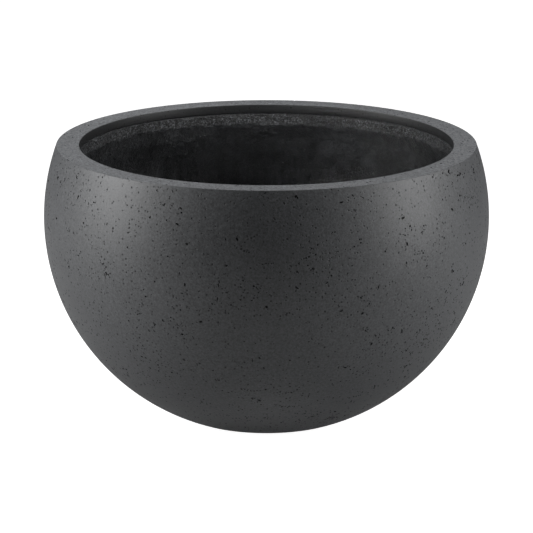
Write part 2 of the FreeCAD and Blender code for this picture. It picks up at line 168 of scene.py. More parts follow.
def turnedMesh(name, rows, steps):
    # turns a closed half-section about Z; a row is (r, z, weights), and rows on the axis close to a point
    kept = [rows[0]]
    for row in rows[1:]:
        if math.dist(row[:2], kept[-1][:2]) > weld["rows"]:
            kept.append(row)
    if math.dist(kept[0][:2], kept[-1][:2]) <= weld["rows"]:
        kept.pop()
    angles = np.arange(steps) * 2 * math.pi / steps
    verts = np.concatenate([np.column_stack([r * np.cos(angles), r * np.sin(angles), np.full(steps, z)])
                            for r, z, weights in kept])
    faces = []
    for row in range(len(kept)):
        above = (row + 1) % len(kept)
        faces += [(row * steps + i, row * steps + (i + 1) % steps, above * steps + (i + 1) % steps,
                   above * steps + i) for i in range(steps)]
    mesh = bpy.data.meshes.new(name)
    mesh.from_pydata(verts.tolist(), [], faces)
    for label in sorted({label for r, z, weights in kept for label in weights}):
        layer = mesh.attributes.new(label, "FLOAT", "POINT")
        values = [weights.get(label, 0.0) for r, z, weights in kept]
        layer.data.foreach_set("value", np.repeat(np.array(values, np.float32), steps))
    work = bmesh.new()
    work.from_mesh(mesh)
    if min(row[0] for row in kept) < weld["axis"]:
        bmesh.ops.remove_doubles(work, verts=work.verts, dist=weld["points"])
        bmesh.ops.dissolve_degenerate(work, edges=work.edges, dist=weld["edges"])
    bmesh.ops.recalc_face_normals(work, faces=work.faces)
    work.to_mesh(mesh)
    work.free()
    return addObject(name, mesh)


def addObject(name, data):
    made = bpy.data.objects.new(name, data)
    bpy.context.scene.collection.objects.link(made)
    return made


def weighted(points, **weights):
    # rows from points; a weight that isn't given is zero
    return [(r, z, weights) for r, z in points]


# node trees


def socketOf(sockets, key):
    # a socket by its number, its identifier or its name
    if isinstance(key, int):
        return sockets[key]
    found = [s for s in sockets if s.identifier == key] or [s for s in sockets if s.name == key]
    return found[0]


def place(tree, kind, inputs=None, **settings):
    # adds a node; an input is a value, or a socket to link from
    node = tree.nodes.new(kind)
    for key, value in settings.items():
        setattr(node, key, value)
    for key, value in (inputs or {}).items():
        socket = socketOf(node.inputs, key)
        if isinstance(value, bpy.types.NodeSocket):
            tree.links.new(value, socket)
        else:
            socket.default_value = value
    return node


def newTree(name, kind, inputs, outputs):
    # an empty group with named sockets; inputs are (name, socket type, value)
    tree = bpy.data.node_groups.new(name, kind)
    for label, socketType, value in inputs:
        socket = tree.interface.new_socket(label, in_out="INPUT", socket_type="NodeSocket" + socketType)
        if value is not None:
            socket.default_value = value
    for label, socketType in outputs:
        tree.interface.new_socket(label, in_out="OUTPUT", socket_type="NodeSocket" + socketType)
    return tree, tree.nodes.new("NodeGroupInput").outputs, tree.nodes.new("NodeGroupOutput").inputs


def pieceTree(name, sizes):
    # a geometry tree that takes a piece and its named sizes, and gives the piece back
    inputs = [("Geometry", "Geometry", None)]
    inputs += [(label, "Int" if isinstance(value, int) else "Float", value) for label, value in sizes.items()]
    return newTree(name, "GeometryNodeTree", inputs, [("Geometry", "Geometry")])


def sums(tree, operation, first, second=0.0, third=0.0):
    return place(tree, "ShaderNodeMath", {0: first, 1: second, 2: third}, operation=operation).outputs[0]


def product(tree, *factors):
    result = factors[0]
    for factor in factors[1:]:
        result = sums(tree, "MULTIPLY", result, factor)
    return result


def vectorSums(tree, operation, first, second=(0.0, 0.0, 0.0)):
    return place(tree, "ShaderNodeVectorMath", {0: first, 1: second}, operation=operation).outputs[0]


def joined(tree, **axes):
    # a vector from values for X, Y and Z
    return place(tree, "ShaderNodeCombineXYZ", axes).outputs[0]


def carried(tree, name):
    # a value that a piece's points carry, as a geometry tree reads it
    return place(tree, "GeometryNodeInputNamedAttribute", {"Name": name}).outputs[0]


def pushed(tree, geometry, offset):
    return place(tree, "GeometryNodeSetPosition", {"Geometry": geometry, "Offset": offset}).outputs[0]


def painted(tree, name):
    # a value that a piece's points carry, as a material reads it
    return place(tree, "ShaderNodeAttribute", attribute_name=name).outputs["Fac"]


def ranged(tree, value, fromMin, fromMax, toMin=0.0, toMax=1.0, smooth=False):
    style = "SMOOTHSTEP" if smooth else "LINEAR"
    return place(tree, "ShaderNodeMapRange", {"Value": value, "From Min": fromMin, "From Max": fromMax,
                 "To Min": toMin, "To Max": toMax}, interpolation_type=style).outputs[0]


def blendColours(tree, factor, first, second, style="MIX"):
    return place(tree, "ShaderNodeMix", {"Factor_Float": factor, "A_Color": first, "B_Color": second},
                 data_type="RGBA", blend_type=style).outputs[2]


def blendValues(tree, factor, first, second):
    return place(tree, "ShaderNodeMix", {"Factor_Float": factor, "A_Float": first, "B_Float": second},
                 data_type="FLOAT").outputs[0]


def mapped(tree, vector, scale=(1.0, 1.0, 1.0), turn=(0.0, 0.0, 0.0)):
    return place(tree, "ShaderNodeMapping", {"Vector": vector, "Rotation": turn,
                 "Scale": scale}).outputs[0]


def noise(tree, vector, scale, detail=2.0, roughness=0.5, distortion=0.0):
    return place(tree, "ShaderNodeTexNoise", {"Vector": vector, "Scale": scale, "Detail": detail,
                 "Roughness": roughness, "Distortion": distortion}).outputs[0]


def bake(piece, tree, values):
    # runs a geometry tree on a piece and keeps the result as its plain mesh
    modifier = piece.modifiers.new(tree.name, "NODES")
    modifier.node_group = tree
    for socket in tree.interface.items_tree:
        if socket.in_out == "INPUT" and socket.name in values:
            modifier[socket.identifier] = values[socket.name]
    bpy.context.view_layer.update()
    shown = piece.evaluated_get(bpy.context.evaluated_depsgraph_get())
    mesh = bpy.data.meshes.new_from_object(shown)
    piece.modifiers.remove(modifier)
    old = piece.data
    piece.data = mesh
    bpy.data.meshes.remove(old)
    mesh.name = piece.name
    return piece


def closeTree(tree, geometry, material, out, sharpFrom=35.0):
    # smooth faces with sharp edges past an angle, then realized and given its material
    smooth = place(tree, "GeometryNodeSetShadeSmooth", {"Geometry": geometry}, domain="FACE")
    angle = tree.nodes.new("GeometryNodeInputMeshEdgeAngle").outputs[0]
    sharp = place(tree, "FunctionNodeCompare", {0: angle, 1: math.radians(sharpFrom)},
                  operation="GREATER_THAN", data_type="FLOAT")
    edged = place(tree, "GeometryNodeSetShadeSmooth", {"Geometry": smooth.outputs[0],
                  "Selection": sharp.outputs[0], "Shade Smooth": False}, domain="EDGE")
    real = place(tree, "GeometryNodeRealizeInstances", {"Geometry": edged.outputs[0]})
    final = place(tree, "GeometryNodeSetMaterial", {"Geometry": real.outputs[0], "Material": material})
    tree.links.new(final.outputs[0], out["Geometry"])


# shader groups that several finishes share


def speckGroup():
    # small specks: a mask that is 1 in the middle of each
    tree, given, out = newTree("Specks", "ShaderNodeTree",
                               [("Vector", "Vector", None), ("Scale", "Float", 300.0),
                                ("Size", "Float", 0.25), ("Share", "Float", 0.3)],
                               [("Mask", "Float")])
    cells = place(tree, "ShaderNodeTexVoronoi", {"Vector": given["Vector"], "Scale": given["Scale"]})
    lottery = place(tree, "ShaderNodeSeparateColor", {"Color": cells.outputs["Color"]})
    chosen = sums(tree, "LESS_THAN", lottery.outputs["Red"], given["Share"])
    smallest, softFrom = 0.4, 0.55  # beside the largest speck, and beside a speck's own radius
    radius = product(tree, given["Size"], ranged(tree, lottery.outputs["Green"], 0, 1, smallest, 1.0))
    spot = ranged(tree, cells.outputs["Distance"], radius, product(tree, radius, softFrom))
    tree.links.new(product(tree, spot, chosen), out["Mask"])
    return tree


def mottleGroup():
    # cloudy variation about 0.5, from broad patches down to grain
    tree, given, out = newTree("Mottle", "ShaderNodeTree",
                               [("Vector", "Vector", None), ("Patch Scale", "Float", 6.0),
                                ("Grain Scale", "Float", 900.0), ("Grain Share", "Float", 0.4)],
                               [("Value", "Float")])
    patchy = noise(tree, given["Vector"], given["Patch Scale"], 5.0, 0.6)
    grain = noise(tree, given["Vector"], given["Grain Scale"], 2.0, 0.7)
    tree.links.new(blendValues(tree, given["Grain Share"], patchy, grain), out["Value"])
    return tree


def strandGroup():
    # chopped glass strands lying every way: 1 on a strand's back, 0 between strands
    tree, given, out = newTree("Glass strands", "ShaderNodeTree",
                               [("Vector", "Vector", None), ("Length Scale", "Float", 40.0),
                                ("Width Scale", "Float", 520.0)],
                               [("Value", "Float")])
    lies = ((0.3, 0.2, 0.1), (1.2, -0.5, 0.9), (-0.4, 1.1, 2.0), (2.2, 0.7, -1.3))
    thinFrom, thickFrom = 0.56, 0.70
    layers = []
    for lie in lies:
        along = joined(tree, X=given["Length Scale"], Y=given["Width Scale"], Z=given["Width Scale"])
        field = vectorSums(tree, "MULTIPLY", mapped(tree, given["Vector"], turn=lie), along)
        layers.append(ranged(tree, noise(tree, field, 1.0, 1.0), thinFrom, thickFrom))
    top = layers[0]
    for layer in layers[1:]:
        top = sums(tree, "MAXIMUM", top, layer)
    tree.links.new(top, out["Value"])
    return tree


speckNodes = speckGroup()
mottleNodes = mottleGroup()
strandNodes = strandGroup()


def useGroup(tree, group, inputs):
    return place(tree, "ShaderNodeGroup", inputs, node_tree=group).outputs[0]


def newMaterial(name, specular=0.5):
    # a bare material: its tree, its shader and the object's own coordinates
    material = bpy.data.materials.new(name)
    material.use_nodes = True
    tree = material.node_tree
    shader = tree.nodes["Principled BSDF"]
    shader.inputs["Specular IOR Level"].default_value = specular
    coords = tree.nodes.new("ShaderNodeTexCoord").outputs["Object"]
    return material, tree, shader, coords


def grey(level, coolness=0.0):
    # a cool grey has a little less red and more blue
    return (level * (1 - coolness), level, level * (1 + 1.6 * coolness), 1.0)


def scaled(tree, colour, factor):
    return place(tree, "ShaderNodeVectorMath", {0: colour, "Scale": factor}, operation="SCALE").outputs[0]


def finishShader(tree, shader, colour, roughness, relief, strength, distance):
    tree.links.new(colour, shader.inputs["Base Color"])
    tree.links.new(roughness, shader.inputs["Roughness"])
    bump = place(tree, "ShaderNodeBump", {"Height": relief, "Strength": strength, "Distance": distance})
    tree.links.new(bump.outputs[0], shader.inputs["Normal"])


# the facing: anthracite cement with cast-in pits

facing = {
    "turnSteps": 192,
    "rowStep": 9 * mm,
    "flatStep": 8 * mm,  # rows on the foot ring and in the recess
    "hiddenStep": 30 * mm,  # rows on the faces that the lining and the filler cover
    "rimEdge": 1.4 * mm,
    "mouthEdge": 1.1 * mm,
    "lipEdge": 0.8 * mm,
    "footEdge": 1.5 * mm,
    "baseRound": 15 * mm,
    "baseSteps": 4,
    "rimShare": 0.55,  # how pitted the rim is beside the belly
    "crowding": (0.40, 0.66, 0.08),  # where pits start and stop crowding, and how many are left elsewhere
    "sizeSpread": (0.42, 1.15),
    "depthShare": 0.9,
    "deepest": 4.4 * mm,
    "pits": {
        "Pit Count": 1000.0,  # per square metre where pits crowd
        "Pit Length": 6.0 * mm,
        "Grain Count": 5200.0,
        "Grain Length": 3.6 * mm,
        "Streak Count": 150.0,
        "Streak Length": 9.0 * mm,
        "Chain Count": 230.0,
        "Chain Gap": 3.7 * mm,
        "Nest Count": 760.0,
        "Nest Gap": 3.7 * mm,
        "Cluster Scale": 15.0,
        "Seed": 11,
    },
    "look": {
        "colour": 0.062,  # linear grey of the belly
        "coolness": 0.032,
        # painted light: the paler colour of the rim's top
        "rimPaintedLightColour": 0.132,
        "rimDepth": 3 * mm,
        "rimUpright": (0.80, 0.97),  # how far up a face looks where the rim's finish starts and is full
        "roughness": 0.50,
        "roughSpread": 0.05,
        "rimRoughness": 0.95,
        "hollowRoughness": 0.95,
        "specular": 0.5,
        "patchScale": 7.0,
        "patchSpread": 0.10,
        "grainScale": 330.0,
        "finerGrain": 2.4,
        "grainShare": 0.4,
        "grainSpread": 0.55,
        "rimGrainSpread": 0.65,
        "pinholeScale": 240.0,
        "pinholeSize": 0.42,
        "pinholeShare": 0.55,
        "pinholeCrowd": (0.36, 0.62, 0.35),
        # painted shade: pinholes are painted dark, as shade in tiny holes
        "pinholePaintedShade": 0.82,
        "pinholeDepth": 2.0,
        # painted shade inside the cut pits
        "hollowPaintedShade": 0.002,
        "lipPaintedShade": 0.20,  # painted shade: the turned-down lip's inner face is darkened
        "reliefScale": 420.0,
        "bumpStrength": 0.35,
        "bumpDistance": 0.5 * mm,
    },
}


def cementMaterial():
    look = facing["look"]
    material, tree, shader, coords = newMaterial("cement_facing", look["specular"])
    # painted light from above: the flat rim's upward faces get a paler colour; they also show more grain
    height = place(tree, "ShaderNodeSeparateXYZ", {"Vector": coords}).outputs["Z"]
    normal = place(tree, "ShaderNodeNewGeometry").outputs["Normal"]
    up = place(tree, "ShaderNodeSeparateXYZ", {"Vector": normal}).outputs["Z"]
    onRim = product(tree, ranged(tree, up, *look["rimUpright"]),
                    sums(tree, "GREATER_THAN", height, bowl["rimZ"] - look["rimDepth"]))
    base = blendColours(tree, onRim, grey(look["colour"], look["coolness"]),
                        grey(look["rimPaintedLightColour"], look["coolness"]))
    patchy = ranged(tree, noise(tree, coords, look["patchScale"], 4.0, 0.6), 0.3, 0.7, -1.0, 1.0)
    mottle = useGroup(tree, mottleNodes, {"Vector": coords, "Patch Scale": look["grainScale"],
                      "Grain Scale": look["finerGrain"] * look["grainScale"],
                      "Grain Share": look["grainShare"]})
    grain = ranged(tree, mottle, 0.34, 0.66, -1.0, 1.0)
    spread = blendValues(tree, onRim, look["grainSpread"], look["rimGrainSpread"])
    tone = sums(tree, "MULTIPLY_ADD", grain, spread, 1.0)
    tone = sums(tree, "MULTIPLY_ADD", patchy, look["patchSpread"], tone)
    # pinholes crowd where the cut pits do
    crowdFrom, crowdTo, crowdLeast = look["pinholeCrowd"]
    crowd = ranged(tree, noise(tree, coords, facing["pits"]["Cluster Scale"], 2.0), crowdFrom, crowdTo,
                   crowdLeast, 1.0)
    pinholes = useGroup(tree, speckNodes, {"Vector": coords, "Scale": look["pinholeScale"],
                        "Size": look["pinholeSize"], "Share": product(tree, crowd, look["pinholeShare"])})
    # painted shade on the lip's inner face
    tone = product(tree, tone, blendValues(tree, painted(tree, "lip"), 1.0, look["lipPaintedShade"]))
    # painted shade in the cut pits and in the pinholes
    paintedShadeMask = sums(tree, "MAXIMUM", product(tree, pinholes, look["pinholePaintedShade"]), painted(tree, "hollow"))
    colour = blendColours(tree, paintedShadeMask, scaled(tree, base, tone), grey(look["hollowPaintedShade"]))
    rough = ranged(tree, grain, -1.0, 1.0, look["roughness"] - look["roughSpread"],
                   look["roughness"] + look["roughSpread"])
    rough = blendValues(tree, onRim, rough, look["rimRoughness"])
    rough = blendValues(tree, paintedShadeMask, rough, look["hollowRoughness"])
    relief = sums(tree, "SUBTRACT", noise(tree, coords, look["reliefScale"], 4.0, 0.65),
                  product(tree, pinholes, look["pinholeDepth"]))
    finishShader(tree, shader, colour, rough, relief, look["bumpStrength"], look["bumpDistance"])
    return material


def facingRows():
    rimR, baseZ, rimZ = arcR(belly, bowl["rimZ"]), bowl["baseZ"], bowl["rimZ"]
    mouthR, lipZ = bowl["mouthR"], bowl["lipZ"]
    bend, bendSteps, flatStep = facing["baseRound"], facing["baseSteps"], facing["flatStep"]
    # the round at the base rolls inside the belly's circle and onto the foot ring
    drop = belly["z"] - baseZ - bend
    bendR = belly["r"] + math.sqrt((belly["radius"] - bend) ** 2 - drop**2)
    lean = math.atan2(bendR - belly["r"], drop)
    turns = [lean * i / bendSteps for i in range(bendSteps + 1)]
    rounding = [(bendR + bend * math.sin(a), baseZ + bend * (1 - math.cos(a))) for a in turns]
    foot = softCorner((bowl["recessR"], bowl["recessZ"]), (bowl["recessR"], baseZ), (rimR, baseZ),
                      facing["footEdge"], 3)
    foot += lineRows((bowl["recessR"] + 2 * mm, baseZ), rounding[0], flatStep) + rounding
    rimEdge = softCorner((arcR(belly, rimZ - 4 * mm), rimZ - 4 * mm), (rimR, rimZ), (0.0, rimZ),
                         facing["rimEdge"])
    bellyRows = arcRows(belly, rounding[-1][1], rimEdge[0][1] - 0.1 * mm, facing["rowStep"]) + rimEdge
    # the mouth's round belongs to the rim up to its middle, and then to the lip
    mouthEdge = softCorner((rimR, rimZ), (mouthR, rimZ), (mouthR, 0.0), facing["mouthEdge"])
    rimRows = lineRows((rimR - 3 * mm, rimZ), (mouthR + 2 * mm, rimZ), facing["rowStep"]) + mouthEdge[:3]
    lip = mouthEdge[3:] + [(mouthR, (rimZ + lipZ) / 2)]
    lip += softCorner((mouthR, rimZ), (mouthR, lipZ), (rimR, lipZ), facing["lipEdge"], 3)
    hidden = [(bowl["lipBackR"], lipZ), (bowl["lipBackR"], bowl["coreTopZ"])]
    hidden += arcRows(backWall, bowl["coreTopZ"], bowl["floorUnderZ"], facing["hiddenStep"])
    hidden += [(bowl["drainR"], bowl["floorUnderZ"])]
    hidden += lineRows((bowl["drainR"], bowl["recessZ"]), (bowl["recessR"], bowl["recessZ"]), flatStep)
    return (weighted(foot) + weighted(bellyRows, pitted=1.0)
            + weighted(rimRows, pitted=facing["rimShare"]) + weighted(lip, lip=1.0) + weighted(hidden))


def pitTree(material):
    # cuts blobs of several shapes out of a wall: crowded here and there, some in chains, some as streaks
    tree, given, out = pieceTree("Cast pits", facing["pits"])
    where = tree.nodes.new("GeometryNodeInputPosition").outputs[0]
    crowdFrom, crowdTo, crowdLeast = facing["crowding"]
    crowd = ranged(tree, noise(tree, where, given["Cluster Scale"], 2.0), crowdFrom, crowdTo, crowdLeast,
                   1.0, smooth=True)
    crowded = product(tree, crowd, carried(tree, "pitted"))
    blobKinds, groupKinds = 5, 4

    def seed(step):
        return sums(tree, "ADD", given["Seed"], float(step))

    def randomly(least, most, step):
        return place(tree, "FunctionNodeRandomValue", {"Min_001": least, "Max_001": most,
                     "Seed": seed(step)}, data_type="FLOAT").outputs[1]

    def oneOf(kinds, step):
        return place(tree, "FunctionNodeRandomValue", {"Min_002": 0, "Max_002": kinds - 1,
                     "Seed": seed(step)}, data_type="INT").outputs[2]

    def marked(geometry, value):
        # the finish paints shade into the hollows that a marked blob leaves
        return place(tree, "GeometryNodeStoreNamedAttribute", {"Geometry": geometry, "Name": "hollow",
                     "Value": value}, data_type="FLOAT", domain="FACE").outputs[0]

    def blobSet(fineness):
        # lumpy balls about 1 across
        blobs = tree.nodes.new("GeometryNodeGeometryToInstance")
        for kind in range(blobKinds):
            ball = place(tree, "GeometryNodeMeshIcoSphere", {"Radius": 0.5, "Subdivisions": fineness})
            lumps = place(tree, "ShaderNodeTexNoise", {"Vector": where, "W": kind * 7.3, "Scale": 2.6,
                          "Detail": 1.0}, noise_dimensions="4D").outputs[0]
            push = scaled(tree, where, ranged(tree, lumps, 0.3, 0.7, -0.55, 0.45))
            tree.links.new(marked(pushed(tree, ball.outputs[0], push), 1.0), blobs.inputs[0])
        return blobs.outputs[0]

    def groupSet(blobs, count, gap, spreadX, spreadY, sway, step):
        # groups of small blobs: a wavering chain, or a nest where the gap is short
        groups = tree.nodes.new("GeometryNodeGeometryToInstance")
        for kind in range(groupKinds):
            row = place(tree, "GeometryNodeMeshLine", {"Count": count + kind, "Start Location":
                        (-gap * (count - 1 + kind) / 2, 0.0, 0.0), "Offset": (gap, 0.0, 0.0)})
            wave = ranged(tree, noise(tree, where, 0.35 + 0.1 * kind), 0.3, 0.7, -sway, sway)
            across = sums(tree, "ADD", wave, randomly(-spreadY, spreadY, step + 10 + kind))
            shift = joined(tree, X=randomly(-spreadX, spreadX, step + kind), Y=across)
            link = place(tree, "GeometryNodeInstanceOnPoints", {"Points":
                         pushed(tree, row.outputs[0], shift), "Instance": blobs, "Pick Instance": True,
                         "Instance Index": oneOf(blobKinds, step + 30 + kind),
                         "Scale": randomly(0.25, 0.9, step + 20 + kind)})
            real = place(tree, "GeometryNodeRealizeInstances", {"Geometry": link.outputs[0]})
            tree.links.new(real.outputs[0], groups.inputs[0])
        return groups.outputs[0]

    def scatter(count, step):
        # count per square metre where pits crowd
        return place(tree, "GeometryNodeDistributePointsOnFaces", {"Mesh": given["Geometry"],
                     "Density": product(tree, count, crowded), "Seed": seed(step)}).outputs

    def putOn(spots, shapes, which, turn, scale):
        turned = place(tree, "FunctionNodeRotateRotation", {"Rotation": spots["Rotation"],
                       "Rotate By": joined(tree, Z=turn)}, rotation_space="LOCAL")
        return place(tree, "GeometryNodeInstanceOnPoints", {"Points": spots["Points"], "Instance": shapes,
                     "Pick Instance": True, "Instance Index": which, "Rotation": turned.outputs[0],
                     "Scale": scale}).outputs[0]

    def cut(blobs, count, length, step, narrow=0.36, spin=(0.0, math.pi), spread=2.2):
        # one population: each pit has its own turn, length, width and depth
        spots = scatter(count, step)
        chance = sums(tree, "POWER", randomly(0.0, 1.0, step + 1), spread)
        size = product(tree, length, ranged(tree, chance, 0.0, 1.0, *facing["sizeSpread"]))
        width = product(tree, size, randomly(narrow, 2 * narrow, step + 2))
        depth = sums(tree, "MINIMUM", product(tree, size, facing["depthShare"]), facing["deepest"])
        return putOn(spots, blobs, oneOf(blobKinds, step + 4), randomly(*spin, step + 3),
                     joined(tree, X=size, Y=width, Z=depth))

    def cutGroups(groups, count, gap, step, slant):
        spots = scatter(count, step)
        return putOn(spots, groups, oneOf(groupKinds, step + 2), randomly(-slant, slant, step + 1),
                     product(tree, gap, randomly(0.6, 1.15, step + 3)))

    fine, coarse = blobSet(2), blobSet(1)
    chains = groupSet(coarse, count=5, gap=1.0, spreadX=0.3, spreadY=0.2, sway=1.3, step=100)
    nests = groupSet(coarse, count=4, gap=0.55, spreadX=0.5, spreadY=0.9, sway=0.0, step=200)
    tools = tree.nodes.new("GeometryNodeJoinGeometry")
    for population in (cut(fine, given["Pit Count"], given["Pit Length"], 0),
                       cut(coarse, given["Grain Count"], given["Grain Length"], 10, 0.42),
                       cut(fine, given["Streak Count"], given["Streak Length"], 20, 0.12, (1.1, 2.0), 1.5),
                       cutGroups(chains, given["Chain Count"], given["Chain Gap"], 30, 0.5),
                       cutGroups(nests, given["Nest Count"], given["Nest Gap"], 40, math.pi)):
        tree.links.new(population, tools.inputs[0])
    pitted = place(tree, "GeometryNodeMeshBoolean", {"Mesh 1": marked(given["Geometry"], 0.0)},
                   operation="DIFFERENCE", solver="MANIFOLD")
    tree.links.new(tools.outputs[0], pitted.inputs["Mesh 2"])
    closeTree(tree, pitted.outputs[0], material, out)
    return tree


facingPiece = turnedMesh("facing", facingRows(), facing["turnSteps"])
bake(facingPiece, pitTree(cementMaterial()), facing["pits"])
print("facing:", len(facingPiece.data.polygons), "faces")

# the lining: black resin over glass strands, laid by hand

lining = {
    "turnSteps": 560,
    "bandStep": 1.6 * mm,
    "coverStep": 3 * mm,
    "upperStep": 3 * mm,
    "lowerStep": 6 * mm,
    "lowerFrom": 200 * mm,  # below this height the rows are wider apart
    "floorStep": 6 * mm,
    "hiddenStep": 25 * mm,
    "grooveDepth": 2.6 * mm,  # the filler stops short just below the lip
    "grooveHeight": 2.4 * mm,
    "softFloor": 18 * mm,
    "softCover": 60 * mm,
    "softBand": 5 * mm,
    "strandShare": 0.35,
    "deepestHollow": -2.2 * mm,
    "highestLump": 2.4 * mm,
    "handLaid": {
        "Ripple Height": 1.3 * mm,
        "Ripple Scale": 18.0,
        "Run Height": 0.7 * mm,
        "Run Scale": 60.0,
        "Wrinkle Height": 2.2 * mm,
        "Wrinkle Scale": 34.0,
        "Bead Height": 1.0 * mm,
        "Bead Scale": 210.0,
        "Seed": 5,
    },
    # the patch on the floor has this finish as well
    "look": {
        "colour": 0.030,  # linear grey of the resin
        "strandColour": 0.050,
        "coolness": 0.04,
        "specular": 0.5,
        "glossy": 0.30,  # roughness where the resin pooled
        "dull": 0.60,
        "strandLength": 45.0,
        "strandWidth": 600.0,
        "patchScale": 22.0,
        "grainScale": 420.0,
        "grainShare": 0.5,
        "toneSpread": (0.45, 1.55),
        "streakScale": 130.0,
        "streakStretch": 0.07,  # how long a run of resin is for its width
        "streakSpread": (0.75, 1.25),
        "glintScale": 400.0,
        "glintEdges": (0.48, 0.64),
        "bandPaintedGlintsAndShade": (0.0, 3.6),  # painted glints and painted shade: the band under the lip is speckled between these tones
        "streakDepth": 0.8,
        "strandDepth": 0.5,
        "lumpDepth": 1.2,
        "lumpScale": 260.0,
        "bumpStrength": 1.0,
        "bumpDistance": 2.2 * mm,
    },
}


def laminateMaterial(name, strandShare):
    look = lining["look"]
    material, tree, shader, coords = newMaterial(name, look["specular"])
    strands = useGroup(tree, strandNodes, {"Vector": coords, "Length Scale": look["strandLength"],
                       "Width Scale": look["strandWidth"]})
    mottle = useGroup(tree, mottleNodes, {"Vector": coords, "Patch Scale": look["patchScale"],
                      "Grain Scale": look["grainScale"], "Grain Share": look["grainShare"]})
    stretched = mapped(tree, coords, (1.0, 1.0, look["streakStretch"]))
    runs = noise(tree, stretched, look["streakScale"], 3.0)
    shown = product(tree, strands, strandShare)
    colour = blendColours(tree, shown, grey(look["colour"], look["coolness"]),
                          grey(look["strandColour"], look["coolness"]))
    tone = product(tree, ranged(tree, mottle, 0.36, 0.64, *look["toneSpread"]),
                   ranged(tree, runs, 0.35, 0.65, *look["streakSpread"]))
    # painted glints and painted shade speckle the band under the lip
    sparkle = noise(tree, coords, look["glintScale"], 3.0, 0.7)
    glints = ranged(tree, sparkle, *look["glintEdges"], *look["bandPaintedGlintsAndShade"])
    tone = product(tree, tone, blendValues(tree, painted(tree, "banded"), 1.0, glints))
    rough = ranged(tree, mottle, 0.40, 0.60, look["glossy"], look["dull"])
    relief = sums(tree, "ADD", product(tree, runs, look["streakDepth"]),
                  product(tree, shown, look["strandDepth"]))
    lumps = noise(tree, coords, look["lumpScale"], 4.0, 0.7)
    relief = sums(tree, "ADD", relief, product(tree, lumps, look["lumpDepth"]))
    finishShader(tree, shader, scaled(tree, colour, tone), rough, relief, look["bumpStrength"],
                 look["bumpDistance"])
    return material


def liningRows():
    lipZ, bandR, footZ = bowl["lipZ"], bowl["bandR"], bowl["bandFootZ"]
    floorZ, drainR, patchR = bowl["floorZ"], bowl["drainR"], bowl["patchR"]
    topR, topZ = arcR(wall, bowl["wallTopZ"]), bowl["wallTopZ"]
    floorStep, hollow, notch = lining["floorStep"], lining["grooveDepth"], lining["grooveHeight"]
    # each round takes the wall's direction from a point a little further along it
    floorBend = softCorner((0.0, floorZ), (arcR(wall, floorZ), floorZ),
                           (arcR(wall, floorZ + 20 * mm), floorZ + 20 * mm), lining["softFloor"], 5)
    coverBend = softCorner((arcR(wall, topZ - 8 * mm), topZ - 8 * mm), (topR, topZ), (bandR, footZ),
                           lining["softCover"], 6)
    bandBend = softCorner((topR, topZ), (bandR, footZ), (bandR, lipZ), lining["softBand"], 3)
    under = lineRows((drainR, floorZ), (patchR - 2 * floorStep, floorZ), 2 * floorStep)
    floor = lineRows((patchR - floorStep, floorZ), floorBend[0], floorStep)
    lower = arcRows(wall, floorBend[-1][1] + 2 * mm, lining["lowerFrom"], lining["lowerStep"])
    upper = arcRows(wall, lining["lowerFrom"] + 3 * mm, coverBend[0][1] - 2 * mm, lining["upperStep"])
    cover = lineRows(coverBend[-1], bandBend[0], lining["coverStep"])
    band = lineRows(bandBend[-1], (bandR, lipZ - notch), lining["bandStep"])
    groove = [(bandR + 0.25 * hollow, lipZ - 0.55 * notch), (bandR + hollow, lipZ - 0.3 * notch),
              (bandR + hollow, lipZ - near)]
    back = [(bowl["lipBackR"], lipZ - near), (bowl["lipBackR"], bowl["coreFootZ"])]
    back += arcRows(backWall, bowl["coveZ"], bowl["floorUnderZ"], lining["hiddenStep"])
    back += [(drainR, bowl["floorUnderZ"])]
    return (weighted(under) + weighted(floor, laid=0.6)
            + weighted(floorBend + lower + upper, laid=1.0)
            + weighted(coverBend + cover, laid=1.0, banded=0.15)
            + weighted(bandBend, laid=0.6, banded=0.7) + weighted(band, laid=0.4, banded=1.0)
            + weighted(groove + back))


